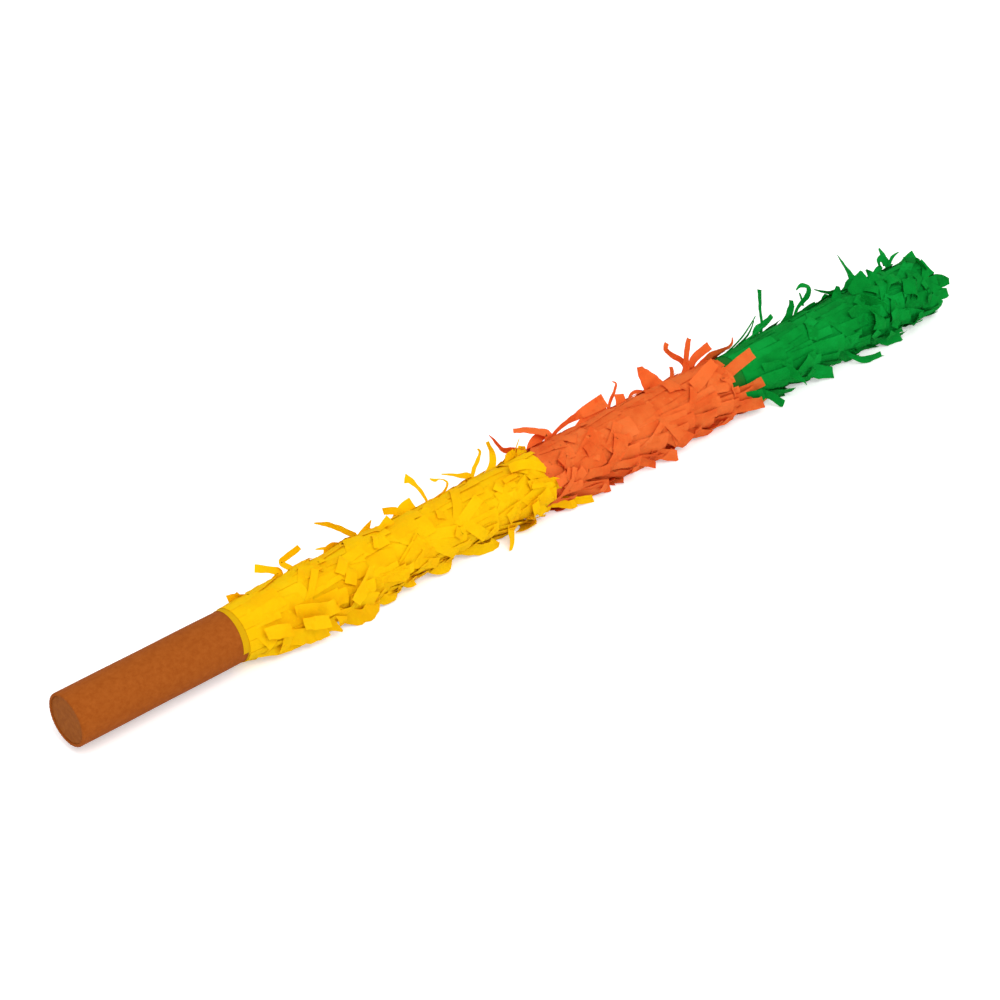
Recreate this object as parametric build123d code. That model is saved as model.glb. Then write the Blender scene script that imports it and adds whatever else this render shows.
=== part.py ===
"""A pinata stick: a closed cardboard tube with a bare kraft-paper grip, dressed along the rest
of its length in strips of fringed tissue paper, yellow, then orange, then green at the tip.

Millimetres. The origin is the centre of the plug's outer face at the butt, +X runs along the
tube to the tip and +Z is up. The stick lies level on the free ends of its lowest tabs.
"""

from build123d import *
import math
import os
import random

os.makedirs("parts", exist_ok=True)

# Tube, kraft wrap and plugs
tube_length = 700.0  # from the butt plug's face to the tube's tip end
tube_diameter = 31.4
tube_wall = 1.2
tube_edge_round = 0.6  # the rolled outer edge of both tube ends
bore_edge_round = 0.3
grip_length = 106.0  # bare kraft paper, from the origin to the first strip
wrap_thickness = 0.3
wrap_tuck = 12.0  # how deep the kraft paper is turned into the bore
plug_recess = 0.6  # how far the butt plug's face lies inside the rim
plug_length = 12.0
plug_chamfer = 0.4

# Fringed strips, each wound once round the tube. Colours run from the grip to the tip.
strip_counts = {"yellow": 9, "orange": 8, "green": 8}
strip_thickness = 0.6  # a bundle of tissue sheets, as one solid
border_width = 8.0  # the uncut edge that is glued to the tube
fringe_depth = 50.0  # from the strip's glued edge to the tabs' free ends
bend_clearance = 2.5  # from the end of the last strip's tabs to the bend in this one's
tabs_per_strip = 16
tab_gap = 0.5  # the slit between two tabs at the tube
border_gap = 0.2  # between the kraft wrap's edge and the first strip
strip_clearance = 0.1  # between a tab and the strip that it lies over
tip_overhang = 20.0  # how far the last strip's tabs reach past the tube

# How the tabs stand: degrees above the strip that they lie on
tab_droop = 1.1  # how far the lowest tabs' free ends stand off, where the stick lies on them
usual_lift = 16.0  # the most that an ordinary tab rises
high_lift = 34.0  # the most that a ruffled tab rises
ruffled_share = 0.2
tuft_fold = 38.0  # how far the tip's inner tabs fold in over the tube's end
ruffle_seed = 12

# Tabs that stand far out: the strip, counted from the grip, the tab's place in degrees round
# the tube from its underside, and the lift and length of the flap past its bend.
loose_tabs = [
    (2, 135, 118, 13),
    (4, 135, 118, 27),
    (6, 135, 72, 21),
    (8, 135, 118, 19),
    (8, 157, 42, 21),
    (9, 135, 84, 18),
    (9, 315, 30, 19),
    (11, 135, 118, 24),
    (12, 135, 18, 26),
    (13, 135, 48, 18),
    (14, 135, 42, 23),
    (16, 112, 56, 22),
    (16, 135, 98, 22),
    (17, 202, 14, 32),
    (17, 247, 16, 29),
    (18, 135, 26, 27),
    (19, 135, 82, 25),
    (21, 135, 70, 15),
    (21, 292, 34, 24),
    (23, 135, 92, 23),
    (24, 157, 40, 20),
]

# Sizes that follow from those above
tube_radius = tube_diameter / 2
bore_radius = tube_radius - tube_wall
grip_radius = tube_radius + wrap_thickness
hem_radius = bore_radius - wrap_thickness
rim_x = -plug_recess
tube_start = rim_x + wrap_thickness
strip_total = sum(strip_counts.values())
first_strip = grip_length + border_gap
last_strip = tube_length + tip_overhang - fringe_depth
strip_pitch = (last_strip - first_strip) / (strip_total - 1)
tab_turn = 360.0 / tabs_per_strip
tab_width = 2 * tube_radius * math.tan(math.radians(tab_turn / 2)) - tab_gap
bend_at = fringe_depth - strip_pitch + bend_clearance
flap_length = fringe_depth - bend_at
# The tabs clear the corners of the next strip's tabs, so they climb this much in one pitch.
corner_radius = math.hypot(tube_radius + strip_thickness, tab_width / 2)
climb = corner_radius - tube_radius + strip_clearance
tab_slope = math.atan2(climb, strip_pitch - border_width)
bend_height = tube_radius + (bend_at - border_width) * math.tan(tab_slope)
lie_height = tube_radius + (fringe_depth - border_width) * math.tan(tab_slope)
rest_height = lie_height + strip_thickness + tab_droop  # down to what the stick lies on


def section(start, end, inner, outer):
    """The cross-section of a round sleeve, from start to end along the tube's axis."""
    return Polygon((start, inner), (end, inner), (end, outer), (start, outer), align=None)


def turned(profile):
    """A cross-section turned once round the tube's axis."""
    return revolve(Plane.XZ * profile, Axis.X)


def core_tube():
    """The spiral-wound cardboard tube, with both of its ends rolled round."""
    profile = section(tube_start, tube_length, bore_radius, tube_radius)
    profile = fillet(profile.vertices().group_by(Axis.Y)[-1], tube_edge_round)
    profile = fillet(profile.vertices().group_by(Axis.Y)[0], bore_edge_round)
    return turned(profile)


def kraft_wrap(tube):
    """The brown paper round the grip, over the tube's end and tucked into its bore."""
    profile = section(rim_x, grip_length, hem_radius, grip_radius)
    profile = fillet(profile.vertices().group_by(Axis.X)[0][-1], tube_edge_round + wrap_thickness)
    profile = fillet(profile.vertices().group_by(Axis.X)[0][0], bore_edge_round + wrap_thickness)
    return turned(profile) - tube - turned(section(wrap_tuck, grip_length, 0, bore_radius))


def plug(face, inner_face, radius):
    """A card plug in the bore, with the edge of its outer face broken."""
    profile = section(face, inner_face, 0, radius)
    corner = profile.vertices().sort_by_distance((face, radius, 0))[0]
    return turned(chamfer(corner, plug_chamfer))


def mitred(points, thickness):
    """The points of a bent line's other face, thickness away on its outer side."""
    bearings = [
        math.atan2(b[1] - a[1], b[0] - a[0]) for a, b in zip(points, points[1:])
    ]
    befores = [bearings[0]] + bearings
    afters = bearings + [bearings[-1]]
    faces = []
    for (x, height), before, after in zip(points, befores, afters):
        normal = (before + after) / 2 + math.pi / 2
        reach = thickness / math.cos((after - before) / 2)
        faces.append((x + reach * math.cos(normal), height + reach * math.sin(normal)))
    return faces


def tab(start, number, lift, flap):
    """One tab: flat on the border, climbing over the next strip, then bent up by lift."""
    bend = start + bend_at
    bearing = tab_slope + math.radians(lift)
    line = [
        (start + border_width / 2, tube_radius),
        (start + border_width, tube_radius),
        (bend, bend_height),
        (bend + flap * math.cos(bearing), bend_height + flap * math.sin(bearing)),
    ]
    outline = Polygon(*line, *reversed(mitred(line, strip_thickness)), align=None)
    blade = Pos(Y=tab_width / 2) * extrude(Plane.XZ * outline, amount=tab_width)
    return Rot(X=180 + number * tab_turn) * blade


def resting_lift(number, flap):
    """The lift at which a tab's free end meets what the stick lies on, if it points down."""
    turn = math.radians(number * tab_turn)
    if math.cos(turn) <= 0:
        return math.inf
    reach = rest_height - tab_width / 2 * abs(math.sin(turn))
    rise = reach / math.cos(turn) - bend_height - strip_thickness
    return math.degrees(math.asin(min(rise / flap, 1)) - tab_slope)


def loose_flaps():
    """The loose tabs' (lift, length), by strip and tab, both counted from zero."""
    flaps = {}
    for strip, turn, lift, flap in loose_tabs:
        number = round(turn / tab_turn) % tabs_per_strip
        flaps[strip - 1, number] = (lift, flap)
    return flaps


def usual_tabs(strip, draw):
    """The (lift, length) of each flap of a strip, before its loose tabs."""
    tabs = []
    for number in range(tabs_per_strip):
        most = high_lift if draw.random() < ruffled_share else usual_lift
        lift = draw.uniform(0, most)
        if (strip + 1, number) in loose:
            lift = 0  # the next strip's loose tab stands over this one
        tabs.append((lift, flap_length))
    return tabs


def tip_tabs():
    """The last strip's tabs: every other one folds in over the tube's end."""
    folds = (-tuft_fold, usual_lift, -tuft_fold / 2, usual_lift / 2)
    return [(folds[number % len(folds)], flap_length) for number in range(tabs_per_strip)]


def fringed_strip(strip, draw):
    """One strip of fringe: its border, glued round the tube, and the tabs cut in it."""
    start = first_strip + strip * strip_pitch
    tabs = tip_tabs() if strip == strip_total - 1 else usual_tabs(strip, draw)
    blades = []
    for number, usual in enumerate(tabs):
        lift, flap = loose.get((strip, number), usual)
        rest = resting_lift(number, flap)
        lowest = number == 0  # the stick lies on these
        blades.append(tab(start, number, rest if lowest else min(lift, rest), flap))
    border = section(start, start + border_width, tube_radius, tube_radius + strip_thickness)
    return turned(border) + blades


def write(name, shape):
    """One STEP file per piece, named as the piece is."""
    shape.label = name
    export_step(shape, f"parts/{name}.step")


tube = core_tube()
write("core_tube", tube)
write("kraft_wrap", kraft_wrap(tube))
write("butt_plug", plug(0.0, plug_length, hem_radius))
write("tip_plug", plug(tube_length, tube_length - plug_length, bore_radius))
loose = loose_flaps()
draw = random.Random(ruffle_seed)
strip = 0
for colour, count in strip_counts.items():
    for place in range(1, count + 1):
        write(f"{colour}_fringe_{place}", fringed_strip(strip, draw))
        strip += 1
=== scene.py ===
"""The looks of a pinata stick round its CAD frame: a kraft paper grip and rings of crumpled tissue.

Shapes are worked out in millimetres, and the studio and the materials in metres.
"""

import math
import random

import bpy
import numpy as np
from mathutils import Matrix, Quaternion, Vector, noise


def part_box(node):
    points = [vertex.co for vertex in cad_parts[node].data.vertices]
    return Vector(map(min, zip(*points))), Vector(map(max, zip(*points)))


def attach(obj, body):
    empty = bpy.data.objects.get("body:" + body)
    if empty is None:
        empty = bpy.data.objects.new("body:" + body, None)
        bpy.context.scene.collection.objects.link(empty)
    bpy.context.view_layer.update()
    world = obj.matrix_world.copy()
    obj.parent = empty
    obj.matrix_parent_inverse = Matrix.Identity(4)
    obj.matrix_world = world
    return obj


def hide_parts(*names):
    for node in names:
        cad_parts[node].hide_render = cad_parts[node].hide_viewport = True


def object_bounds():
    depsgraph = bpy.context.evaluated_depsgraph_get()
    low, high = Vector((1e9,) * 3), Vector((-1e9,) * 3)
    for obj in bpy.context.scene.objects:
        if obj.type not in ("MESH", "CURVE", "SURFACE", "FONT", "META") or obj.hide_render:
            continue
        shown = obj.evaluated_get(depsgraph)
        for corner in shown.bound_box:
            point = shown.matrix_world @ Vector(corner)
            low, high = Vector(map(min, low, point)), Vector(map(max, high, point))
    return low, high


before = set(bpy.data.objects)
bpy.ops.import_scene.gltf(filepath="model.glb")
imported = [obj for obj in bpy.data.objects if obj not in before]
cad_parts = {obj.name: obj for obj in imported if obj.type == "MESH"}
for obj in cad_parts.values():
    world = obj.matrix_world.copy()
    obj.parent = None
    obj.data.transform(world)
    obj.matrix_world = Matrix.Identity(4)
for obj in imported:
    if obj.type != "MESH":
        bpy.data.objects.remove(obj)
CAD_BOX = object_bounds()

MM = 0.001
SEED = 21

# The stick lies along X. Across it, ABOVE is what the camera sees as up, and FACING points to the
# camera. The camera looks along the stick too, more so towards the tip.
TILT_SINE = 0.673
TILT_COSINE = 0.740
ABOVE = Vector((0, TILT_SINE, TILT_COSINE))
FACING = Vector((0, -TILT_COSINE, TILT_SINE))
SIGHT_SLANT = (0.62, 0.36)  # along the stick for 1 across it: at the grip, and what the tip adds

# Sizes in millimetres.
TUBE_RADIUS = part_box("core_tube")[1].z / MM
TUBE_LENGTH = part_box("core_tube")[1].x / MM
FLOOR_HEIGHT = CAD_BOX[0][2] / MM
PAPER_THICKNESS = 0.1
FLOOR_PLAY = 0.6  # the most that paper lying on the floor stands off it

# The grip's kraft paper is one sheet, from its hem in the tube, round the rim and along the grip. Its
# lapped edge is at the back.
GRIP_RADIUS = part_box("kraft_wrap")[1].z / MM
GRIP_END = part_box("kraft_wrap")[1].x / MM
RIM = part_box("kraft_wrap")[0].x / MM
HEM_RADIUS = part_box("butt_plug")[1].z / MM
HEM_PLACES = (12, 6, 3, 1)  # of its circles of points in the tube
BEND_ANGLES = (0, 22, 45, 67, 90)  # of its circles on either side of the rim, in degrees
INNER_BEND = 0.6  # the radius of the rim's rounding on the bore's side
OUTER_BEND = 0.9  # and on the outside
RIM_PLACES = (1, 2, 3, 4.5, 6, 8, 11)  # of its circles on the grip where the pleats are
GRIP_START = 15  # of its evenly spaced circles
GRIP_STEP = 4
UNDER_BORDER = 3.4  # how far it reaches below the first strip
WRAP_POINTS = 280  # in each circle
WRAP_SEAM = 60  # in degrees round from the underside
WRAP_LAP = 14  # in degrees
LAP_STEP = 0.12  # how far the edge that is lapped lies below the other
PLEATS = 42  # round the rim
PLEAT_DEPTH = 0.22
PLEAT_LENGTH = 2.5  # over which they fade
PLEAT_GROUPS = 3  # how many times round the rim they crowd together
PLEAT_SHIFT = 2  # and how much
RIPPLE_DEPTH = 0.04  # of the faint ripples on the grip
RIPPLE_LENGTH = 9  # along the grip, in one radian of a ripple
RIPPLE_TURNS = 2  # of the ripples, in one turn round the grip
SMOOTH_LENGTH = 10  # from the rim to where the ripples are full depth

# The uncut border of each strip of tissue.
BORDER_WIDTH = 4.5
WIDE_BORDERS = {17: (5, 13)}  # how much sooner the border of some rings starts, and how wide it is
BORDER_DRIFT = 3.6  # how far a border runs along the tube in one turn
BORDER_SEAM = 279  # where its ends meet, in degrees round from the underside
BORDER_LAP = 2  # how far it reaches under the tabs
BORDER_LIFT = 0.1  # above the tube
BORDER_STEP = 0.05  # how much further out its last end lies than its first
RING_POINTS = 96  # round the tube

# The tabs of each strip.
TAB_LENGTH = 45
TAB_STEP = 2.6  # from one row of points to the next
TAB_LAYERS = 3
TAB_LIFT = 0.15  # how far the lowest layer stands off the tube
LAYER_STEP = 0.2  # from one layer to the next
FIVE_POINTS_FROM = 8  # a tab this wide has five points across, a narrower one three
ROUND_RADIUS = TUBE_RADIUS + 2  # that a tab is curved to across its width
FREE_FLATTER = 3  # how many times less curved it is where it has left the stick
CREASE_ANGLE = 42  # in degrees, from which a fold is shaded sharp

# The widths of tabs. Most are alike, some were left uncut in pairs, and some are torn narrow.
PAIR_SHARE = 0.28
NARROW_SHARE = 0.1
USUAL_WIDTHS = (5.4, 7.2)
PAIR_WIDTHS = (9, 13.5)
NARROW_WIDTHS = (2.8, 4.4)

# How far the tissue stands from the stick's axis, on its upper side and on its underside, at places
# along it.
BODY = (
    (106, (16.4, 16.5)),
    (118, (16.7, 18.0)),
    (135, (17.0, 20.8)),
    (160, (17.5, 24.2)),
    (190, (17.7, 23.4)),
    (225, (17.4, 20.2)),
    (262, (17.0, 18.4)),
    (290, (17.0, 21.0)),
    (330, (17.1, 23.0)),
    (355, (17.2, 24.8)),
    (400, (17.7, 25.6)),
    (447, (17.2, 26.0)),
    (480, (17.0, 24.8)),
    (513, (16.9, 23.4)),
    (545, (16.9, 24.6)),
    (590, (17.1, 26.2)),
    (630, (17.3, 26.8)),
    (655, (17.4, 27.0)),
    (690, (17.6, 25.6)),
    (704, (17.4, 22.0)),
    (712, (16.2, 18.0)),
    (720, (12.0, 12.0)),
)

# How many tabs of a hundred lie flat, lie askew, are folded over, curl up and stand out, at places
# along the stick.
MANNERS = ("flat", "askew", "folded", "curled", "standing")
SHARES = (
    (106, (40, 22, 25, 10, 3)),
    (200, (36, 26, 23, 10, 5)),
    (225, (55, 22, 15, 5, 3)),
    (255, (66, 18, 10, 4, 2)),
    (310, (70, 15, 10, 3, 2)),
    (326, (20, 36, 32, 8, 4)),
    (378, (30, 32, 28, 7, 3)),
    (402, (62, 20, 10, 5, 3)),
    (470, (60, 22, 10, 5, 3)),
    (505, (25, 30, 33, 8, 4)),
    (535, (85, 10, 3, 1, 1)),
    (620, (82, 11, 4, 2, 1)),
    (640, (14, 30, 36, 14, 6)),
    (720, (10, 30, 44, 12, 4)),
)

# How rough the tissue is, at places along the stick: 0 is as smooth as it was wound, and 1 is as
# crumpled as in most places.
ROUGHNESS = (
    (106, (1.0,)),
    (205, (1.0,)),
    (225, (0.6,)),
    (262, (0.4,)),
    (315, (0.4,)),
    (330, (1.2,)),
    (385, (1.3,)),
    (405, (0.6,)),
    (475, (0.6,)),
    (500, (1.3,)),
    (530, (0.45,)),
    (620, (0.55,)),
    (642, (1.8,)),
    (690, (1.6,)),
    (720, (1.1,)),
)

CRUMPLE_SIZE = 8  # how far apart the creases of crumpled tissue are
CRUMPLE_DEPTH = (0.6, 1.3)  # how deep they are: at least, and as much more at a roughness of 1
CRUMPLE_START = 8  # how far from the border they are full depth
UPPER_CALM = 0.5  # the share of that depth which is missing on the upper side
FINE_TIMES = 2.3  # how many times closer a second set of creases lies
FINE_SHARE = 0.5  # of the first set's depth
FINE_SHIFT = Vector((7, 3, 5))  # from one set to the other, so that they don't coincide

# How a tab of each manner lies, with angles in degrees. A pair is the least and the most, except in
# CRUMPLES and FLAT_SWING: there it is for smooth tissue, and how much is added at a roughness of 1.
# A crumple is about how far the tab is bent at each row of points, a swing is about how far it turns
# sideways in all, and a slant is how askew a fold lies.
CRUMPLES = {"flat": (1, 2.5), "askew": (4, 5), "folded": (3, 4), "curled": (6, 0), "standing": (7, 0)}
FLAT_SWING = (2, 2)
SWINGS = {"folded": 14, "curled": 20, "standing": 25}
ASKEW_SWING = (15, 60)
FOLD_PLACE = (0.6, 0.85)  # as shares of the tab's length
FOLD_ANGLE = (150, 174)
LOOSER_FOLD = 40  # how much smaller the least fold is at a roughness of 1
FOLD_SLANT = (8, 50)
CURL_PLACE = (0.6, 0.8)  # where it leaves the stick
CURL = (6, 20)  # at each row
STAND_PLACE = (0.55, 0.7)
STAND_ANGLE = (30, 100)
STAND_SLANT = 20
STAND_CURL = (-4, 8)
NEVER = 2  # the place of what a tab doesn't do, well past its end

# How many millimetres the free end stands off: at least, at most on smooth tissue, and how much is
# added to the most at a roughness of 1.
TIP_HEIGHTS = {"flat": (0, 0.2, 0.8), "askew": (0.2, 0.8, 1.4), "folded": (0.5, 0.8, 1.4)}
TIP_FROM = 0.6  # the share of a tab's length from which its free end rises

# How a tab makes its way along the stick.
FULLNESS = (0.95, 1.1)  # the share of the room under BODY that it climbs
UNDER_SLACK = 0.45  # how much smaller the least share is on the underside
RISE_PACE = 1.4  # it has climbed it at 1 / 1.4 of its length
RISE_POWER = 1.2  # above 1, it climbs more slowly at first
STEER_REACH = 9  # how far ahead it aims for its height
STEER_MOST = 25  # the most that it bends for that, in degrees
STEEPEST = 0.6  # the steepest that it aims, as a sine
ROLL_SHARE = 0.6  # how far it is turned towards lying flat on the stick
STRAIGHT_OUT = 0.2  # a tab nearer to straight out than this, as a sine, isn't turned
SWING_PLACE = (0.15, 0.35)  # where it starts to swing, in shares of its length
SWING_LENGTH = 0.25  # over which it swings
SLANT_PER_CRUMPLE = 6  # how askew its bends lie, at most, for each radian of crumple
MOST_SLANT = 0.5  # the most askew that any bend lies, in radians

# How manners depend on the side of the stick, as the cosine of the angle to straight at the camera or
# straight above. Where the camera sees them, tabs that curl up or stand out are placed one by one.
FACING_FROM = -0.6
UPPER_FROM = 0.3
TOP_FROM = 0.75  # from here up, fewer tabs are askew or folded
TOP_ASKEW = 0.5
TOP_FOLDED = 0.3
FLAT_WEIGHT = 1.2  # times their usual share lie flat on the upper side, and 1 less underneath
MANNER_PLACE = 0.7  # the share of its length at which a tab looks up its manner

# How long tabs are, from the shortest to the longest, in shares of the usual length: in the lowest
# layer, in those above it, and in some rings, counted from 0 at the grip.
LOWEST_TABS = (0.8, 0.92)
USUAL_TABS = (0.84, 1.05)
SHORT_TABS = {0: (0.3, 1.0), 8: (0.8, 0.99), 15: (0.72, 0.88), 16: (0.25, 0.42), 24: (0.58, 0.8)}

# The last yellow and the last orange ring have more tabs on the side that the camera doesn't see.
# They reach over the next colour.
FAR_TABS = {8: (1.05, 1.45), 16: (0.5, 1.1)}  # how long they are, as above
FAR_SIDE = (-18, 122)  # from one turn to another, in degrees
FAR_SPACING = 17
FAR_MANNERS = ("flat", "askew", "folded")

# The last ring's lowest tabs fold over the tube's tip.
TUCK_CLEARANCE = 1  # how far past the tube the first of them folds
TUCK_STEP = 0.12  # how much further out each one folds than the one before
TUCK_REACH = (0.95, 1.25)  # how far they reach across the tip, in tube radii
TUCK_ANGLE = (-89, -78)
TUCK_CRUMPLE = 2

# Loose tabs stand out from the rest. They are wider than they look where they are seen askew.
ROOT_LENGTH = 24  # how far past its ring's start a loose tab leaves the others, at least
LOOSE_CLEARANCE = 0.4  # from the tube
HANGING_WIDER = 1.35  # how many times wider it is, if it hangs below the stick
ASKEW_WIDER = 1.6  # if it doesn't, up to a width of WIDEST_ASKEW
WIDEST_ASKEW = 6
LOOSE_CUP = 0.05  # how deep it is cupped, in widths
LOOSE_CRUMPLE = 0.12  # how deep it is crumpled, in widths
LOOSE_CREASES = 4  # how far apart its creases are
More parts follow.
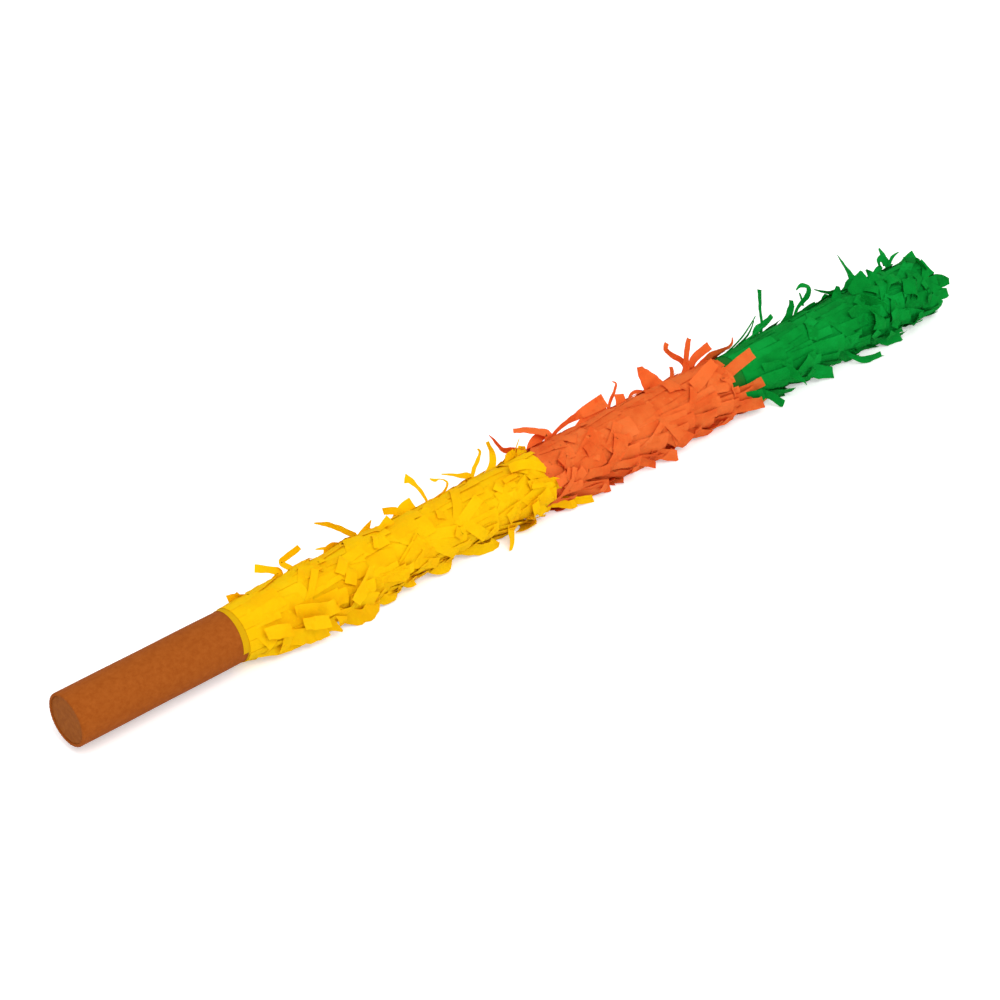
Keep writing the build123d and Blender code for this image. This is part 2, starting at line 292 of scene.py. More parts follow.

# The loose tabs, placed one by one. Each has its depth, from the stick's axis towards the camera, and
# then its stations: the place along the stick, the height above the axis and the width, as the
# camera sees them.
STRANDS = {
    "yellow": (
        (0, (133, 14, 4), (127, 16.4, 3.6), (123, 18, 4.4), (118.3, 19.1, 4.4)),
        (0, (146, 15, 4), (154, 17.5, 4.3), (155, 20, 4.3), (150.5, 23.3, 4.2), (142.6, 27.6, 5)),
        (1, (157, 15.5, 3.3), (163.5, 17.5, 3.3), (161, 21.5, 3.3),
         (160, 24.2, 3.2), (167, 25.6, 3.4), (175, 27, 3.4)),
        (-3, (196, 15, 3), (190, 19.5, 2), (183, 21.8, 0.7)),
        (-2, (188, 15, 5), (190.5, 18.6, 4.4), (196, 19, 4), (200, 15.5, 5)),
        (0, (202, 15, 4.5), (211, 17.5, 4.5), (206, 24, 4.4),
         (200, 30, 3.6), (194.5, 33.5, 2.2), (190.5, 35.4, 0.8)),
        (-1, (212, 14, 7), (218, 18, 5), (225.5, 22.5, 0.5)),
        (9, (224, 11, 7), (231, 14, 7.5), (239, 17.5, 7.5)),
        (1, (248, 15, 6), (243.5, 20.8, 5), (235.5, 24, 4.4)),
        (-2, (241, 15, 8), (249, 19.4, 8), (256.5, 21, 7)),
        (0, (262, 14, 2), (265.4, 17.5, 1.8), (265.6, 23, 2),
         (264, 29, 2.6), (262, 33, 4.4), (259.3, 35.5, 6.4)),
        (2, (266, 16.5, 1.6), (276, 17.3, 1.5), (281.6, 19, 1.5), (284.8, 22, 1.4), (283.5, 24.6, 0.9)),
        (-3, (283.5, 24.4, 0.8), (280, 26.3, 0.7), (277.5, 26.6, 2), (274.5, 28.9, 0.8)),
        (-1, (290, 14, 6), (300, 16.5, 7), (299.5, 20, 5),
         (296, 22, 3), (290, 25, 1.6), (283.5, 28.2, 0.7)),
        (1, (296, 14, 3), (301, 17.5, 3), (306, 22, 3),
         (311.5, 25.7, 2.8), (315.6, 29.8, 2.2), (315, 32, 1.4)),
        (-2, (308, 14, 4), (315, 16.7, 5), (320, 20.5, 5), (323, 26, 4.8), (323.5, 33.4, 2.8)),
        (-2, (275, -14, 8), (288, -17.5, 8), (300, -18.5, 8), (312, -18, 7)),
        (3, (330, 15, 5), (333, 19, 5), (339, 20.3, 4)),
        (0, (338, 14, 7), (343, 18.5, 7), (345, 21.8, 5)),
        (0, (338, 20, 1), (342, 23.5, 0.8), (346, 26.5, 0.5)),
        (18.5, (215, -3, 6), (208.5, -7, 6), (201, -11.5, 6), (193.5, -15.5, 6)),
        (9, (160, -14, 8), (170, -19, 9), (176, -26.5, 1.5)),
        (19.5, (156, -5, 8), (165, -8, 9), (174, -11, 9), (182, -12, 8)),
        (6, (176, -15, 9), (185, -22, 10), (194, -25, 9), (202, -21.5, 8), (203, -15, 7)),
        (3, (203, -14, 7), (209, -21.5, 7), (216, -21.5, 6), (218, -16, 6)),
        (4, (222, -14, 6), (228, -19.5, 6), (233.5, -20.3, 5)),
        (3, (243, -14, 7), (250, -20, 7), (258, -21, 6.5), (261, -16, 6)),
        (2, (266, -14, 7), (279, -20, 7), (291, -24, 7), (297, -21.5, 6)),
        (5, (313, -14, 4), (309.5, -22, 3.8), (306.5, -27.5, 3), (303, -31.5, 2)),
        (5, (338, -14, 6), (350, -19, 6), (357, -23.5, 5.5), (362, -24, 5)),
        (4, (350, -16, 5), (363, -23, 5), (375, -26.5, 5)),
        (18, (331, 12.5, 5), (340, 11.5, 6), (348, 8, 6), (355, 2.5, 5)),
        (19, (338, -3, 9), (347, -5, 8.5), (356, -7.5, 8), (360, -9.5, 6)),
        (5, (118, -13, 8), (128, -16.5, 8), (140, -18.5, 9), (150, -19, 8)),
        (19.5, (133, -8.5, 7), (141, -10, 8), (149, -12.5, 7)),
        (17.5, (157, -13, 7), (165, -15.5, 8), (173, -18, 7)),
        (9, (143, -16, 9), (152, -19, 10), (161, -21, 9.5), (168, -22, 7)),
    ),
    "orange": (
        (-2, (348, 14, 5), (338, 21.5, 4), (331.5, 24.2, 3.4),
         (329.8, 28, 2.8), (328.6, 32, 2), (327, 36.4, 0.6)),
        (1, (360, 14, 5), (367, 20.5, 4.6), (361, 25, 4.2), (354, 29, 4), (344.5, 32, 3)),
        (-1, (348, 14, 7), (354, 20, 7), (364, 22.5, 5.5)),
        (0, (362, 15, 3), (371, 19.5, 2.4), (381, 22, 2.8),
         (391, 22.8, 4), (399, 23.2, 7), (417.5, 24, 9.4)),
        (-3, (412, 14, 2.5), (420, 21.5, 2), (426.5, 26, 1.8), (431, 30, 1.4), (429, 32.4, 0.7)),
        (1, (424, 13, 7), (427.5, 18, 7.5), (429.5, 23.6, 7.5)),
        (-3, (431, 16, 1.8), (438, 20, 2), (444, 19.5, 2.4), (449, 16.5, 2)),
        (-1, (386, 14, 6), (396, 17.8, 7), (407, 19, 8), (415.5, 20, 8)),
        (0, (457, 13, 18), (456.5, 18, 17), (455, 25, 12), (453.7, 30, 7.6), (454, 33, 4)),
        (2, (470, 14, 4), (474.5, 19.5, 3.8), (476.5, 24.2, 3)),
        (0, (480, 13, 6), (487, 19, 5.5), (486, 25, 4.6),
         (481.5, 30.5, 4.4), (479.5, 35.5, 4.2), (482.5, 38.8, 3.2)),
        (2, (484, 15, 5), (489, 22, 4), (494, 28.5, 3.6), (500.5, 35.2, 3.4)),
        (-2, (487, 15, 5), (495, 21.5, 5), (504, 24, 5.4), (513, 25.3, 5.6)),
        (1, (496, 15.5, 4), (508, 19.2, 3.4), (518, 19.4, 2.4),
         (526, 18.8, 1.8), (531, 20.4, 1.5), (533, 23.5, 0.7)),
        (16.4, (492, -1, 7), (508, 2.5, 7.6), (526, 6, 7.8), (543, 8.6, 7.6)),
        (14.8, (490, -6, 6), (505, -9, 6), (522, -10.4, 6), (540, -10.8, 6)),
        (10.5, (486, -11, 8), (500, -15, 8), (515, -19, 8), (532, -23, 7.5)),
        (13.5, (488, -7, 8), (500, -11, 8), (512, -14, 8), (524, -14.5, 7), (531, -13, 6)),
        (3, (494, -13, 8), (506, -17, 8), (520, -19, 8), (536, -19.5, 6)),
        (6, (474, -14, 9), (484, -17.5, 9), (494, -20, 8), (503, -20, 7)),
        (0, (392, -15, 8), (404, -20, 8), (416, -21.5, 8), (426, -21, 7)),
        (0, (455, -14, 8), (470, -19, 8), (485, -20, 8), (497, -19, 7)),
        (18, (486, 6, 9), (496, 9, 9), (505, 12, 8), (511, 14, 7)),
        (6, (416, -16, 6), (424, -22, 6), (430, -26.5, 4.5)),
        (7, (426, -15, 7), (438, -22, 8), (449, -27.5, 7.5)),
        (5, (370, -14, 8), (381, -20, 9), (391, -24.5, 8)),
    ),
    "green": (
        (0, (520, 15.5, 1.1), (540, 20.5, 1.1), (559, 29, 0.7)),
        (-3, (526, 15.5, 1.2), (545, 20, 1.2), (556, 27, 0.7)),
        (2, (528, 15, 1.1), (546, 18, 1.2), (561, 21, 1)),
        (0, (553, 14, 3), (560, 21.5, 2.2), (564, 29.5, 2.4), (568.5, 37, 3), (572.5, 43.5, 3.6)),
        (-2, (548, 14, 5), (554, 20.5, 5), (562, 22, 4), (572, 24.6, 3)),
        (1, (574, 14, 5), (583, 18.5, 5), (590, 23.5, 5), (593, 28, 3.6)),
        (-1, (586, 15, 2), (594, 21, 2), (602, 24, 3),
         (609, 26.5, 3.4), (611.5, 31, 3.4), (606.5, 34, 2.6), (601, 32.5, 1)),
        (-3, (600, 21, 1.6), (601.5, 25, 2), (602.5, 30, 1.4)),
        (-3, (590, 16, 2), (600, 18.6, 2), (611, 19.4, 1.8)),
        (14, (643, 15, 5), (650, 16.2, 9.5), (657, 17.6, 12), (663.5, 19.2, 10.5)),
        (0, (636, 17.4, 2.4), (645, 20.4, 2.4), (653, 22.4, 2), (661, 24.6, 1.4)),
        (11.5, (668, 11, 8), (668, 17, 8.5), (665.5, 23.6, 1.6)),
        (0, (668, 15, 6), (674, 19.4, 5), (680, 21.4, 3)),
        (9, (627, 13, 7), (632, 17.6, 7), (635.8, 22.4, 2.6)),
        (1, (640, 15, 3), (633, 19.4, 3), (625, 21.6, 2.4), (615.5, 27.4, 0.8)),
        (0, (650, 14, 11), (651, 20, 7.5), (650.3, 26, 4.4), (649.5, 33, 2.6), (648.5, 41.5, 0.5)),
        (3, (640, 14, 9), (646, 18.6, 9), (651, 20.5, 7)),
        (20.5, (634, 1, 6), (642, 1.5, 8), (650, -1.5, 8), (657, -5, 6)),
        (21.5, (650, 8, 6), (656, 4, 7), (662, -1, 7), (667, -6, 6)),
        (0, (682, 13, 5), (685.5, 19, 6), (684.5, 25, 6.5), (680, 25.5, 4), (678.5, 22, 2)),
        (-2, (684, 20, 6), (685.5, 27, 4.6), (685.5, 33, 1.4)),
        (2, (684, 17, 2), (692, 23.2, 2.4), (700.5, 24.6, 0.7)),
        (2, (696, 13, 8), (705, 16.4, 8), (713, 17.6, 8)),
        (9, (704, -1, 9), (716, -4, 10), (724, -6, 9), (730.5, -9, 5)),
        (11, (700, -6, 8), (711, -8, 8), (721, -10, 8)),
        (13, (694, -10, 8), (708, -12, 8), (718, -13.8, 8), (724.5, -15, 6)),
        (8, (530, -14, 6), (539, -21, 6), (546, -30.5, 6.5)),
        (12.5, (519, -15, 7), (528, -17.5, 8), (536, -18, 7)),
        (0, (606, -15, 9), (620, -20, 9), (634, -21.5, 9), (648, -22, 8)),
        (18, (545, -4, 7), (560, -8, 8), (566, -15, 7), (571, -23, 2), (571.5, -26, 0.6)),
        (9, (572, -14, 9), (585, -21.5, 10), (597, -27, 8)),
        (8, (612, -15, 4), (620, -25, 4), (630, -30.5, 6), (643, -32.5, 6.6)),
        (6, (640, -15, 8), (653, -24, 9), (666, -27.5, 9)),
        (12, (650, -14, 8), (660, -18.5, 9), (671, -21, 8)),
    ),
}


def between(table, place):
    """The values in a table of (place, values) rows at a place, straight between its rows."""
    places = [row[0] for row in table]
    columns = zip(*(row[1] for row in table))
    return [float(np.interp(place, places, column)) for column in columns]


def outward(point):
    """The direction straight out from the stick's axis at a point."""
    return Vector((0, point.y, point.z)).normalized()


def direction(turn):
    """The direction out from the axis at a turn in degrees from the underside."""
    angle = math.radians(turn)
    return Vector((0, math.sin(angle), -math.cos(angle)))


def underness(out):
    """How far round to the underside a direction is, from 0 on the upper side to 1."""
    return max(0.0, min(1.0, 0.5 - out.z / (2 * TILT_COSINE)))


class Ribbon:
    """A ribbon of paper laid row by row: it goes straight on, folds along lines and swings sideways."""

    def __init__(self, point, along, out, width):
        self.point = point
        self.along = along.normalized()
        self.out = (out - self.along * out.dot(self.along)).normalized()
        self.width = width
        self.columns = 3 if width < FIVE_POINTS_FROM else 5
        self.rows = []

    def side(self):
        """1 with the paper's first face out, -1 where a fold has turned it over."""
        return 1 if self.out.dot(outward(self.point)) >= 0 else -1

    def across(self):
        """The direction across the ribbon."""
        return self.along.cross(self.out)

    def forward(self, distance):
        """Goes straight on."""
        self.point = self.point + self.along * distance

    def fold(self, angle, slant=0.0):
        """Folds the paper to come, up for a positive angle, along a line slanted from straight across."""
        line = self.across() * math.cos(slant) + self.along * math.sin(slant)
        turn = Quaternion(line, angle)
        self.along = (turn @ self.along).normalized()
        self.out = (turn @ self.out).normalized()

    def swing(self, angle):
        """Turns sideways, within the paper's own plane."""
        self.along = (Quaternion(self.out, angle) @ self.along).normalized()

    def roll(self):
        """Turns the paper about its own line, part of the way to lying flat on the stick."""
        flat = outward(self.point) * self.side()
        flat = flat - self.along * flat.dot(self.along)
        if flat.length > STRAIGHT_OUT:
            mixed = self.out.lerp(flat.normalized(), ROLL_SHARE)
            self.out = (mixed - self.along * mixed.dot(self.along)).normalized()

    def steer(self, height):
        """Bends the paper to come towards a distance from the stick's axis."""
        radius = math.hypot(self.point.y, self.point.z)
        wanted = max(-STEEPEST, min(STEEPEST, (height - radius) / STEER_REACH))
        now = max(-1.0, min(1.0, self.along.dot(outward(self.point))))
        change = math.asin(wanted) - math.asin(now)
        most = math.radians(STEER_MOST)
        self.fold(self.side() * max(-most, min(most, change)))

    def mark(self, slant=0.0, wrap=0.0):
        """Keeps a row of points across the ribbon here, curved as round a tube of radius 1 / wrap."""
        line = self.across() + self.along * math.tan(slant)
        row = []
        for column in range(self.columns):
            offset = self.width * (column / (self.columns - 1) - 0.5)
            drop = self.side() * wrap * offset**2 / 2
            row.append(self.point + line * offset - self.out * drop)
        self.rows.append(row)


class Paper:
    """The points and faces of thin closed sheets of paper."""

    def __init__(self):
        self.points = []
        self.faces = []
        self.finishes = []
        self.count = 0

    def add(self, rows, finish=0):
        """Adds a sheet from its rows of points in millimetres, with the number of its material."""
        grid = np.array([[tuple(point) for point in row] for row in rows], float)
        normals = np.cross(np.gradient(grid, axis=0), np.gradient(grid, axis=1))
        normals /= np.maximum(np.linalg.norm(normals, axis=2, keepdims=True), 1e-9)
        half = normals * (PAPER_THICKNESS / 2)
        length, breadth = grid.shape[:2]

        def corner(row, column, side):
            return self.count + (side * length + row) * breadth + column

        before = len(self.faces)
        for row in range(length - 1):
            for column in range(breadth - 1):
                ring = ((row, column), (row + 1, column), (row + 1, column + 1), (row, column + 1))
                self.faces.append([corner(*place, 0) for place in ring])
                self.faces.append([corner(*place, 1) for place in reversed(ring)])
        rim = [(row, 0) for row in range(length)]
        rim += [(length - 1, column) for column in range(1, breadth)]
        rim += [(row, breadth - 1) for row in reversed(range(length - 1))]
        rim += [(0, column) for column in reversed(range(1, breadth - 1))]
        for start, end in zip(rim, rim[1:] + rim[:1]):
            self.faces.append([corner(*end, 0), corner(*start, 0), corner(*start, 1), corner(*end, 1)])
        self.finishes += [finish] * (len(self.faces) - before)
        self.points += [(grid + half).reshape(-1, 3), (grid - half).reshape(-1, 3)]
        self.count += 2 * length * breadth

    def piece(self, name, materials):
        """Makes a Blender object of the sheets, with all but the sharper folds shaded smooth."""
        mesh = bpy.data.meshes.new(name)
        points = np.concatenate(self.points) * MM
        mesh.from_pydata(points.tolist(), [], self.faces)
        mesh.shade_smooth()
        mesh.set_sharp_from_angle(angle=math.radians(CREASE_ANGLE))
        for material in materials:
            mesh.materials.append(material)
        mesh.polygons.foreach_set("material_index", self.finishes)
        made = bpy.data.objects.new(name, mesh)
        bpy.context.scene.collection.objects.link(made)
        return made


def creases(place):
    """How high crumpled tissue stands at a place, from 0 in its creases to about 1."""
    coarse = abs(noise.noise(place / CRUMPLE_SIZE))
    fine = abs(noise.noise(place / CRUMPLE_SIZE * FINE_TIMES + FINE_SHIFT))
    return coarse + FINE_SHARE * fine


def crumpled(point, start):
    """A point past the border moved out a little, as the sheets above and below it are."""
    least, more = CRUMPLE_DEPTH
    out = outward(point)
    depth = least + more * between(ROUGHNESS, point.x)[0]
    depth *= min(1, max(0, (point.x - start) / CRUMPLE_START))
    depth *= 1 - UPPER_CALM * max(0, out.dot(ABOVE))
    return point + out * depth * creases(Vector((point.x, 0, 0)) + out * TUBE_RADIUS)


def kept_outside(rows, lowest_radius, draws):
    """The rows with every point moved out of the tube and up to the floor."""
    floor = FLOOR_HEIGHT + PAPER_THICKNESS + draws.uniform(0, FLOOR_PLAY)

    def moved(point):
        if point.x < TUBE_LENGTH and math.hypot(point.y, point.z) < lowest_radius:
            out = outward(point) * lowest_radius
            point = Vector((point.x, out.y, out.z))
        return Vector((point.x, point.y, max(point.z, floor)))

    return [[moved(point) for point in row] for row in rows]


class Habit:
    """How one tab lies: how it swings, crumples, folds and curls, and where it leaves the stick."""

    def __init__(self, manner, rough, draws):
        smooth_swing, rough_swing = FLAT_SWING
        self.swing = math.radians(draws.gauss(0, smooth_swing + rough_swing * rough))
        smooth_crumple, rough_crumple = CRUMPLES[manner]
        self.crumple = math.radians(smooth_crumple + rough_crumple * rough)
        self.fold_at = NEVER
        self.fold_angle = 0
        self.fold_slant = 0
        self.free_from = NEVER
        self.curl = 0
        self.rise("flat", rough, draws)
        if manner == "askew":
            self.swing = math.radians(draws.choice((-1, 1)) * draws.uniform(*ASKEW_SWING))
            self.rise(manner, rough, draws)
        if manner in SWINGS:
            self.swing = math.radians(draws.gauss(0, SWINGS[manner]))
        if manner == "folded":
            least, most = FOLD_ANGLE
            self.fold_at = draws.uniform(*FOLD_PLACE)
            self.fold_angle = math.radians(draws.uniform(least - LOOSER_FOLD * rough, most))
            self.fold_slant = math.radians(draws.choice((-1, 1)) * draws.uniform(*FOLD_SLANT))
            self.rise(manner, rough, draws)
        if manner == "curled":
            self.free_from = draws.uniform(*CURL_PLACE)
            self.curl = math.radians(draws.uniform(*CURL))
        if manner == "standing":
            self.free_from = draws.uniform(*STAND_PLACE)
            self.curl = math.radians(draws.uniform(*STAND_CURL))
            self.fold_at = self.free_from
            self.fold_angle = math.radians(draws.uniform(*STAND_ANGLE))
            self.fold_slant = math.radians(draws.gauss(0, STAND_SLANT))

    def rise(self, manner, rough, draws):
        """Picks how high the free end stands."""
        least, smooth_most, rough_more = TIP_HEIGHTS[manner]
        self.tip_height = draws.uniform(least, smooth_most + rough_more * rough)

    def tuck(self, share, draws):
        """Folds the tab down over the tube's end from this share of its length on."""
        self.fold_at = share
        self.free_from = share
        self.fold_angle = math.radians(draws.uniform(*TUCK_ANGLE))
        self.crumple = math.radians(TUCK_CRUMPLE)


def held_height(point, share, base, layer, fullness, tip_height):
    """How far from the axis a tab lies at a point, a share of the way to its free end."""
    upper, lower = between(BODY, point.x)
    body = upper + (lower - upper) * underness(outward(point))
    room = body - base - LAYER_STEP * (TAB_LAYERS - 1 - layer)
    rise = min(1, share * RISE_PACE) ** RISE_POWER
    height = base + (TAB_LIFT + LAYER_STEP * layer) + max(0, room) * rise * fullness
    return height + tip_height * max(0, share - TIP_FROM) / (1 - TIP_FROM)


def tab(start, turn, width, layer, length, habit, base, draws):
    """The rows of one tab of a fringe, from its border to its free end, on a tube of the base radius."""
    out = direction(turn)
    lowest = base + (TAB_LIFT + LAYER_STEP * layer)
    least, most = FULLNESS
    fullness = draws.uniform(least - UNDER_SLACK * underness(out), most)
    ribbon = Ribbon(Vector((start, 0, 0)) + out * lowest, Vector((1, 0, 0)), out, width)
    steps = round(length / TAB_STEP)
    pace = length / steps
    swing_start = round(draws.uniform(*SWING_PLACE) * steps)
    swing_steps = max(1, round(SWING_LENGTH * steps))
    wrap = 1 / ROUND_RADIUS
    folded = False
    ribbon.mark(wrap=wrap)
    for step in range(1, steps + 1):
        share = step / steps
        ribbon.forward(pace)
        if share >= habit.fold_at and not folded:
            folded = True
            ribbon.mark(habit.fold_slant)
            ribbon.fold(habit.fold_angle, habit.fold_slant)
            continue
        most_slant = min(MOST_SLANT, SLANT_PER_CRUMPLE * habit.crumple)
        slant = 0 if step == steps else draws.uniform(-1, 1) * most_slant
        held = share < habit.free_from
        ribbon.mark(slant, wrap if held else wrap / FREE_FLATTER)
        if 0 <= step - swing_start < swing_steps:
            ribbon.swing(habit.swing / swing_steps)
        ribbon.fold(draws.gauss(0, habit.crumple), slant)
        if held:
            height = held_height(ribbon.point, share, base, layer, fullness, habit.tip_height)
            ribbon.steer(height)
            ribbon.roll()
        else:
            ribbon.fold(habit.curl)
    rows = [[crumpled(point, start) for point in row] for row in ribbon.rows]
    return kept_outside(rows, lowest, draws)


def manner_at(place, turn, draws):
    """Picks how a tab lies at a place along the stick and a turn in degrees from the underside."""
    flat, askew, folded, curled, standing = between(SHARES, place)
    out = direction(turn)
    if out.dot(FACING) > FACING_FROM or out.dot(ABOVE) > UPPER_FROM:
        standing = 0
        curled = 0
    if out.dot(ABOVE) > TOP_FROM:
        askew *= TOP_ASKEW
        folded *= TOP_FOLDED
    flat *= FLAT_WEIGHT - underness(out)
    return draws.choices(MANNERS, weights=(flat, askew, folded, curled, standing))[0]


def border(paper, start, base, full_width):
    """Adds the uncut edge of a fringe, wound once round the tube with its ends just lapped."""
    rows = []
    for index in range(RING_POINTS + 1):
        share = index / RING_POINTS
        out = direction(BORDER_SEAM + 360 * share) * (base + BORDER_LIFT + BORDER_STEP * share)
        edge = start + BORDER_DRIFT * (1 - share)
        width = full_width + BORDER_LAP - BORDER_DRIFT * (1 - share)
        rows.append([Vector((edge + width * part, 0, 0)) + out for part in (0, 0.5, 1)])
    paper.add(rows, finish=1)


def picked_width(draws):
    """The width of a tab."""
    kind = draws.random()
    if kind < PAIR_SHARE:
        return draws.uniform(*PAIR_WIDTHS)
    if kind > 1 - NARROW_SHARE:
        return draws.uniform(*NARROW_WIDTHS)
    return draws.uniform(*USUAL_WIDTHS)


def sight(place):
    """The way straight to the camera from a place along the stick, 1 long across the stick."""
    slant, more = SIGHT_SLANT
    return FACING - Vector((slant + more * place / TUBE_LENGTH, 0, 0))


def seen_at(place, height, depth):
    """The point that the camera sees at a place along the stick and a height above its axis, at a
    depth towards the camera, or nearer where it would lie below the floor."""
    low = FLOOR_HEIGHT + PAPER_THICKNESS
    depth = max(depth, (low - height * ABOVE.z) / FACING.z)
    return Vector((place, 0, 0)) + ABOVE * height + sight(place) * depth


def smoothed(stations, spans=4):
    """More stations on a smooth curve through the given ones, a Catmull-Rom spline."""
    given = np.array([stations[0], *stations, stations[-1]], float)
    curve = []
    for before, start, end, after in zip(given, given[1:], given[2:], given[3:]):
        for part in np.arange(spans) / spans:
            bend = 2 * before - 5 * start + 4 * end - after
            bend = bend + (3 * start - before - 3 * end + after) * part
            curve.append(start + part * (end - before + part * bend) / 2)
    curve.append(given[-1])
    return curve


def strand(depth, stations, draws):
    """The rows of one loose tab through its stations. Where it looks narrower than a tab is, it is
    seen askew. One that hangs below the stick faces the floor a little."""
    curve = smoothed(stations)
    points = [seen_at(place, height, depth) for place, height, _ in curve]
    hangs = stations[-1][1] < 0
    lean = math.copysign(1, stations[0][0] - stations[-1][0]) if hangs else draws.choice((-1, 1))
    rows = []
    for index, (point, (place, _, width)) in enumerate(zip(points, curve)):
        along = points[min(index + 1, len(points) - 1)] - points[max(index - 1, 0)]
        if hangs:
            full_width = HANGING_WIDER * width
        else:
            full_width = max(width, min(WIDEST_ASKEW, ASKEW_WIDER * width))
        askew = math.sqrt(full_width**2 - width**2) * lean
        across = (along.cross(FACING).normalized() * width + sight(place) * askew) / 2
        bend = along.cross(across).normalized() * full_width
        row = [point - across, point + bend * LOOSE_CUP, point + across]
        rows.append([part + bend * LOOSE_CRUMPLE * noise.noise(part / LOOSE_CREASES) for part in row])
    return rows


def ring_of(place, starts):
    """Which of a colour's rings a loose tab belongs to, by where it leaves the others."""
    reached = [number for number, start in enumerate(starts) if start + ROOT_LENGTH <= place]
    return reached[-1] if reached else 0


def layer_of_tabs(start, base, number, layer, last, draws):
    """One layer of tabs, all round the stick. The lowest lies flat, and at the tip folds over the end."""
    shortest, longest = SHORT_TABS.get(number, USUAL_TABS if layer else LOWEST_TABS)
    if layer == 0 and number == 0:
        shortest = longest  # no other ring's tabs cover the tube here
    turn = draws.uniform(0, 360)
    end = turn + 360
    sheets = []
    while turn < end:
        width = picked_width(draws)
        turn += math.degrees(width / 2 / TUBE_RADIUS)
        length = TAB_LENGTH * draws.uniform(shortest, longest)
        place = start + MANNER_PLACE * length
        manner = manner_at(place, turn, draws) if layer else "flat"
        habit = Habit(manner, between(ROUGHNESS, place)[0], draws)
        if last and layer == 0:
            over_end = TUBE_LENGTH + TUCK_CLEARANCE + TUCK_STEP * len(sheets) - start
            length = over_end + draws.uniform(*TUCK_REACH) * TUBE_RADIUS
            habit.tuck(over_end / length, draws)
        sheets.append(tab(start, turn, width, layer, length, habit, base, draws))
        turn += math.degrees(width / 2 / TUBE_RADIUS)
    return sheets


def far_tabs(start, base, number):
    """The tabs of a colour's last ring that reach over the next colour on the far side."""
    draws = random.Random(number)
    shortest, longest = FAR_TABS[number]
    sheets = []
    for turn in range(*FAR_SIDE, FAR_SPACING):
        length = TAB_LENGTH * draws.uniform(shortest, longest)
        habit = Habit(draws.choice(FAR_MANNERS), 1, draws)
        sheets.append(tab(start, turn, picked_width(draws), TAB_LAYERS, length, habit, base, draws))
    return sheets


def fringe(node, number, colour, strands, last):
    """One ring of fringe, in place of the plain CAD ring: its border, its tabs and its loose tabs."""
    draws = random.Random(SEED + number)
    sooner, border_width = WIDE_BORDERS.get(number, (0, BORDER_WIDTH))
    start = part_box(node)[0].x / MM - sooner
    base = GRIP_RADIUS if number == 0 else TUBE_RADIUS
    paper = Paper()
    border(paper, start, base, border_width)
    sheets = []
    for layer in range(TAB_LAYERS):
        sheets += layer_of_tabs(start + border_width, base, number, layer, last, draws)
    if number in FAR_TABS:
        sheets += far_tabs(start + border_width, base, number)
    for depth, *stations in strands:
        sheets.append(kept_outside(strand(depth, stations, draws), TUBE_RADIUS + LOOSE_CLEARANCE, draws))
    for sheet in sheets:
        paper.add(sheet)
    piece = paper.piece(node.replace("fringe", "tissue"), (TAB_PAPERS[colour], BORDER_PAPERS[colour]))
    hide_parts(node)
    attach(piece, "root")


def srgb(red, green, blue):
    """A colour given in 0 to 255 screen values, as Blender's linear colour."""
    linear = []
    for value in (red, green, blue):
        value /= 255
        linear.append(value / 12.92 if value <= 0.04045 else ((value + 0.055) / 1.055) ** 2.4)
    return (*linear, 1)


class Nodes:
    """A short way to write a material's nodes."""

    def __init__(self, name):
        self.material = bpy.data.materials.new(name)
        self.material.use_nodes = True
        self.tree = self.material.node_tree
        self.tree.nodes.clear()

    def node(self, kind, inputs=None, **settings):
        """A node, with its inputs linked to sockets or set to values."""
        made = self.tree.nodes.new(kind)
        for setting, value in settings.items():
            setattr(made, setting, value)
        for name, value in (inputs or {}).items():
            if isinstance(value, bpy.types.NodeSocket):
                self.tree.links.new(value, made.inputs[name])
            else:
                made.inputs[name].default_value = value
        return made

    def noise(self, scale, detail, roughness, stretch=(1, 1, 1)):
        """Noise over the object's own coordinates, in which 1 is a metre."""
        place = self.node("ShaderNodeTexCoord").outputs["Object"]
        mapping = self.node("ShaderNodeMapping", {"Vector": place, "Scale": stretch})
        inputs = {"Vector": mapping.outputs["Vector"], "Scale": scale}
        inputs |= {"Detail": detail, "Roughness": roughness}
        return self.node("ShaderNodeTexNoise", inputs).outputs["Fac"]

    def ramp(self, factor, *stops):
        """A colour ramp with stops of (position, colour)."""
        made = self.node("ShaderNodeValToRGB", {"Fac": factor})
        elements = made.color_ramp.elements
        while len(elements) < len(stops):
            elements.new(0.5)
        for element, (position, colour) in zip(elements, stops):
            element.position = position
            element.color = colour
        return made.outputs["Color"]

    def range(self, value, low, high):
        """A value of 0 to 1 taken to low to high."""
        inputs = {"Value": value, "To Min": low, "To Max": high}
        return self.node("ShaderNodeMapRange", inputs).outputs["Result"]

    def mix(self, factor, first, second):
        """One colour mixed into another. The node has inputs of one name for each type of data, so
        those for colours go by number."""
        made = self.node("ShaderNodeMix", data_type="RGBA")
        factor_input, first_input, second_input = (made.inputs[name] for name in (0, 6, 7))
        self.tree.links.new(factor, factor_input)
        self.tree.links.new(first, first_input)
        second_input.default_value = second
        return made.outputs[2]

    def bump(self, height, distance, strength, under=None):
        """The surface's normal, bumped by a height over what is under it."""
        inputs = {"Height": height, "Distance": distance, "Strength": strength}
        if under:
            inputs["Normal"] = under
        return self.node("ShaderNodeBump", inputs).outputs["Normal"]

    def finish(self, shader):
        """The material, with this shader as its surface."""
        self.node("ShaderNodeOutputMaterial", {"Surface": shader})
        return self.material


SHEET_TONES = 0.3  # how much the sheets of tissue differ in tone
THROUGH_SHARE = 0.35  # of the light on tissue that goes through it
TISSUE_SHINE = 0.08
KRAFT_SHINE = 0.06
FLAT_PAPER = 0.05  # how deep kraft paper is dented, in millimetres
PUCKERED_PAPER = 0.4


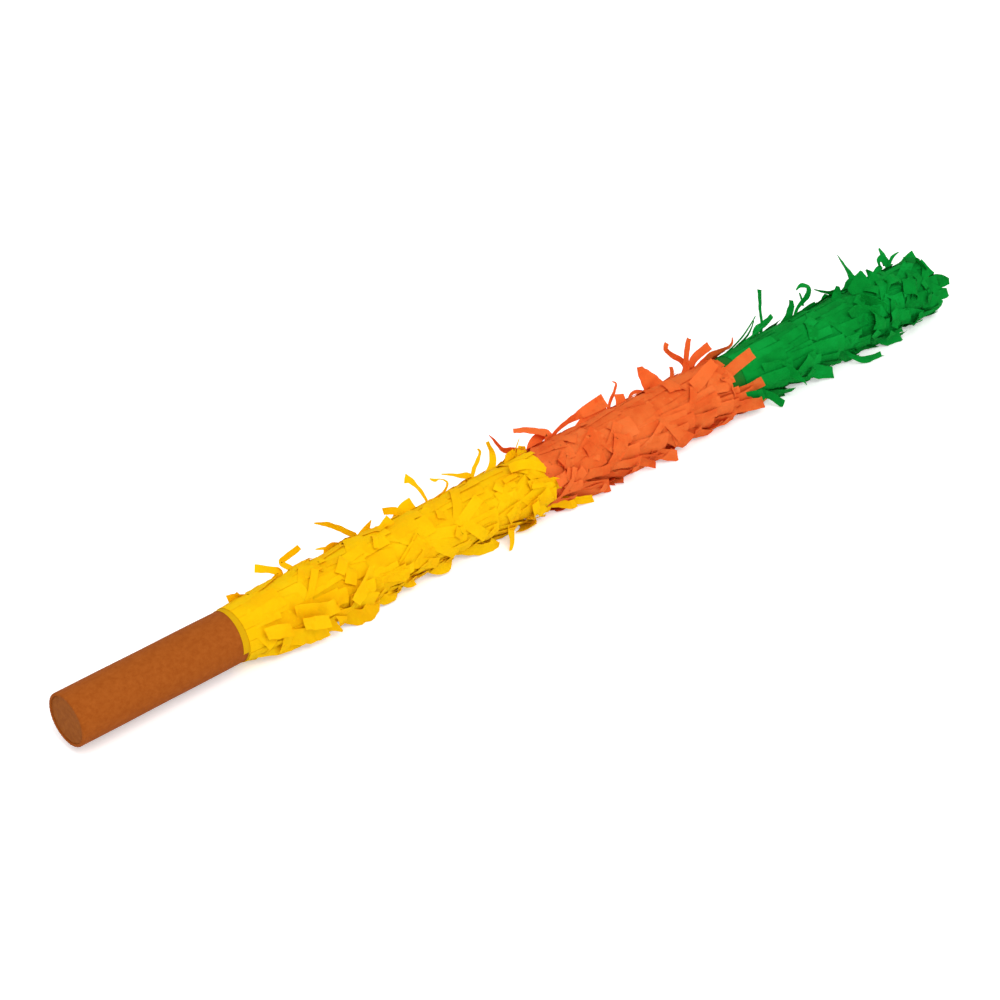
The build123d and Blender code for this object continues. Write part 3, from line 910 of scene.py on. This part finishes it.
def tissue(name, colour, shade, glow, through_colour):
    """Thin dyed tissue paper: matte and faintly crinkled, each sheet a little different in tone, with
    some light coming through."""
    nodes = Nodes(name)
    clouds = nodes.noise(scale=55, detail=4, roughness=0.6)
    sheet = nodes.node("ShaderNodeNewGeometry").outputs["Random Per Island"]
    tone = nodes.node("ShaderNodeMath", {0: sheet, 1: SHEET_TONES, 2: clouds}, operation="MULTIPLY_ADD")
    dye = nodes.ramp(tone.outputs["Value"], (0.42, shade), (0.66, colour), (0.9, glow))
    crinkle = nodes.noise(scale=420, detail=3, roughness=0.55)
    waves = nodes.noise(scale=130, detail=2, roughness=0.5)
    waved = nodes.bump(waves, distance=0.0012, strength=0.45)
    normal = nodes.bump(crinkle, distance=0.0005, strength=0.3, under=waved)
    matte = nodes.node(
        "ShaderNodeBsdfPrincipled",
        {
            "Base Color": dye,
            "Roughness": nodes.range(crinkle, 0.7, 0.9),
            "Normal": normal,
            "Specular IOR Level": TISSUE_SHINE,
        },
    )
    through = nodes.node("ShaderNodeBsdfTranslucent", {"Color": through_colour, "Normal": normal})
    inputs = {"Fac": THROUGH_SHARE, 1: matte.outputs["BSDF"], 2: through.outputs["BSDF"]}
    return nodes.finish(nodes.node("ShaderNodeMixShader", inputs).outputs["Shader"])


def kraft(name, colour, shade, light, dent_depth):
    """Brown kraft paper: mottled, dull and dented, with fine fibres along the stick."""
    nodes = Nodes(name)
    mottle = nodes.noise(scale=340, detail=6, roughness=0.7)
    fibres = nodes.noise(scale=1300, detail=3, roughness=0.6, stretch=(0.5, 1, 1))
    base = nodes.ramp(mottle, (0.36, shade), (0.52, colour), (0.68, light))
    dents = nodes.noise(scale=90, detail=2, roughness=0.4)
    dented = nodes.bump(dents, distance=dent_depth * MM, strength=1.0)
    shader = nodes.node(
        "ShaderNodeBsdfPrincipled",
        {
            "Base Color": nodes.mix(nodes.range(fibres, 0, 0.35), base, shade),
            "Roughness": nodes.range(fibres, 0.62, 0.8),
            "Normal": nodes.bump(fibres, distance=0.0001, strength=0.5, under=dented),
            "Specular IOR Level": KRAFT_SHINE,
        },
    )
    return nodes.finish(shader.outputs["BSDF"])


# The usual colour, the darker tone and the lighter tone of each paper. A tissue has a fourth, of the
# light that comes through it, and is duller where it lies on the tube's brown board.
DYES = {
    "yellow": (srgb(255, 209, 0), srgb(252, 196, 0), srgb(255, 216, 6), srgb(255, 222, 30)),
    "orange": (srgb(243, 122, 54), srgb(233, 102, 41), srgb(249, 133, 65), srgb(255, 138, 64)),
    "green": (srgb(0, 157, 54), srgb(0, 136, 46), srgb(6, 172, 65), srgb(30, 188, 84)),
}
DYES_OVER_BOARD = {
    "yellow": (srgb(236, 190, 8), srgb(228, 180, 4), srgb(243, 198, 18), srgb(232, 156, 0)),
    "orange": (srgb(216, 100, 44), srgb(204, 88, 36), srgb(226, 108, 52), srgb(214, 80, 28)),
    "green": (srgb(24, 136, 46), srgb(56, 110, 36), srgb(8, 150, 52), srgb(30, 150, 56)),
}
KRAFT = (srgb(155, 79, 22), srgb(146, 71, 16), srgb(162, 85, 27))
DISC = (srgb(149, 82, 27), srgb(135, 70, 21), srgb(159, 90, 34))
BOARD = (srgb(160, 112, 72), srgb(140, 94, 58), srgb(176, 128, 86))

TAB_PAPERS = {colour: tissue(f"{colour}_tissue_paper", *dyes) for colour, dyes in DYES.items()}
BORDER_PAPERS = {
    colour: tissue(f"{colour}_tissue_over_board", *dyes) for colour, dyes in DYES_OVER_BOARD.items()
}


def fringes():
    """Every ring of fringe, from grip to tip."""
    number = 0
    total = sum("fringe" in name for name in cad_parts)
    for colour in DYES:
        nodes = [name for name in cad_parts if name.startswith(colour)]
        nodes.sort(key=lambda name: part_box(name)[0].x)
        starts = [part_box(name)[0].x / MM for name in nodes]
        strands = [[] for _ in nodes]
        for one in STRANDS[colour]:
            root = one[1][0]
            strands[ring_of(root, starts)].append(one)
        for node, loose in zip(nodes, strands):
            fringe(node, number, colour, loose, number == total - 1)
            number += 1


def wrap_profile():
    """The kraft paper's section, from its hem in the tube to the first strip, as (place, radius)."""
    hem = [(place, HEM_RADIUS) for place in HEM_PLACES]
    inside = []
    outside = []
    for angle in BEND_ANGLES:
        sine = math.sin(math.radians(angle))
        cosine = math.cos(math.radians(angle))
        inside.append((RIM + INNER_BEND * (1 - sine), HEM_RADIUS + INNER_BEND * (1 - cosine)))
        outside.append((RIM + OUTER_BEND * (1 - cosine), GRIP_RADIUS - OUTER_BEND * (1 - sine)))
    grip = [(place, GRIP_RADIUS) for place in (*RIM_PLACES, *range(GRIP_START, round(GRIP_END), GRIP_STEP))]
    return hem + inside + outside + grip + [(GRIP_END + UNDER_BORDER, GRIP_RADIUS)]


def wrap_row(turn, profile):
    """The kraft paper's points along the grip at a turn in degrees, pleated round the rim."""
    angle = math.radians(turn)
    under = max(0, 1 - (turn - WRAP_SEAM) / WRAP_LAP)
    wobble = math.sin(PLEATS * angle + PLEAT_SHIFT * math.sin(PLEAT_GROUPS * angle))
    row = []
    for place, radius in profile:
        pleat = PLEAT_DEPTH * wobble * math.exp(-abs(place - RIM) / PLEAT_LENGTH)
        ripple = RIPPLE_DEPTH * math.sin(place / RIPPLE_LENGTH + RIPPLE_TURNS * angle)
        ripple *= min(1, max(0, place / SMOOTH_LENGTH))
        in_bore = place > 0 and radius < GRIP_RADIUS - OUTER_BEND
        change = 0 if in_bore else ripple - LAP_STEP * under - PAPER_THICKNESS / 2 + min(0, pleat)
        on_rim = radius < GRIP_RADIUS
        row.append(Vector((place - abs(pleat) * on_rim, 0, 0)) + direction(turn) * (radius + change))
    return row


def kraft_wrap():
    """The grip's kraft paper: one sheet, lapped at the back, with its hem tucked into the tube."""
    profile = wrap_profile()
    rows = []
    for index in range(WRAP_POINTS + 1):
        rows.append(wrap_row(WRAP_SEAM + (360 + WRAP_LAP) * index / WRAP_POINTS, profile))
    paper = Paper()
    paper.add(rows)
    piece = paper.piece("kraft_paper_wrap", [kraft("kraft_paper", *KRAFT, FLAT_PAPER)])
    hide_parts("kraft_wrap")
    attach(piece, "root")


def dress(node, material):
    """Gives a CAD node a material."""
    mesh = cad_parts[node].data
    mesh.materials.clear()
    mesh.materials.append(material)


def tube_and_plugs():
    """The card plugs and the tube, which are the CAD's own."""
    board = kraft("tube_board", *BOARD, FLAT_PAPER)
    dress("butt_plug", kraft("kraft_disc", *DISC, PUCKERED_PAPER))
    dress("tip_plug", board)
    dress("core_tube", board)


# The studio, in metres.
MIDDLE = Vector((0.35, 0, 0))
FLOOR_SIZE = 12
FLOOR_WHITE = (0.9, 0.9, 0.9, 1)
FLOOR_GLOW = 0.35  # that only the camera sees
LAMPS = (
    # name, place, size, power in watts
    ("key", (0.0, -1.3, 2.0), 1.4, 28.5),
    ("low", (0.1, -1.6, 0.35), 1.0, 2.4),
    ("fill", (-1.3, 0.9, 1.2), 1.6, 5),
)
SKY_STRENGTH = 0.78
CAMERA_PLACE = (-0.5685, -0.9504, 0.8624)
CAMERA_AIM = Vector((0.3116, -0.002, 0))
CAMERA_LENS = 93.6  # in millimetres


def white_floor():
    """A white floor, which shows white to the camera wherever no shadow falls."""
    bpy.ops.mesh.primitive_plane_add(size=FLOOR_SIZE, location=(MIDDLE.x, 0, CAD_BOX[0][2]))
    floor = bpy.context.object
    floor.name = "floor"
    nodes = Nodes("white_floor")
    plain = nodes.node("ShaderNodeBsdfDiffuse", {"Color": FLOOR_WHITE})
    glow = nodes.node("ShaderNodeEmission", {"Color": (1, 1, 1, 1), "Strength": FLOOR_GLOW})
    seen = nodes.node("ShaderNodeAddShader", {0: plain.outputs["BSDF"], 1: glow.outputs["Emission"]})
    path = nodes.node("ShaderNodeLightPath")
    inputs = {"Fac": path.outputs["Is Camera Ray"], 1: plain.outputs["BSDF"], 2: seen.outputs["Shader"]}
    floor.data.materials.append(nodes.finish(nodes.node("ShaderNodeMixShader", inputs).outputs["Shader"]))


def sky():
    """A soft light from all sides, white to the camera."""
    world = bpy.data.worlds.new("studio")
    bpy.context.scene.world = world
    world.use_nodes = True
    background = world.node_tree.nodes["Background"]
    background.inputs["Color"].default_value = (1, 1, 1, 1)
    path = world.node_tree.nodes.new("ShaderNodeLightPath")
    strength = world.node_tree.nodes.new("ShaderNodeMapRange")
    strength.inputs["To Min"].default_value = SKY_STRENGTH
    world.node_tree.links.new(path.outputs["Is Camera Ray"], strength.inputs["Value"])
    world.node_tree.links.new(strength.outputs["Result"], background.inputs["Strength"])


def aimed(data, place, target):
    """A lamp or camera at a place, aimed at a target."""
    made = bpy.data.objects.new(data.name, data)
    made.location = place
    made.rotation_euler = (target - made.location).to_track_quat("-Z", "Y").to_euler()
    bpy.context.scene.collection.objects.link(made)
    return made


def lamps():
    """Soft square lamps, aimed at the stick's middle."""
    for name, place, size, power in LAMPS:
        lamp = bpy.data.lights.new(name, "AREA")
        lamp.size = size
        lamp.energy = power
        aimed(lamp, place, MIDDLE)


def camera():
    """The camera, above and to one side of the grip's end."""
    lens = bpy.data.cameras.new("camera")
    lens.lens = CAMERA_LENS
    bpy.context.scene.camera = aimed(lens, CAMERA_PLACE, CAMERA_AIM)


fringes()
kraft_wrap()
tube_and_plugs()
white_floor()
sky()
lamps()
camera()
bpy.context.scene.view_settings.view_transform = "Standard"
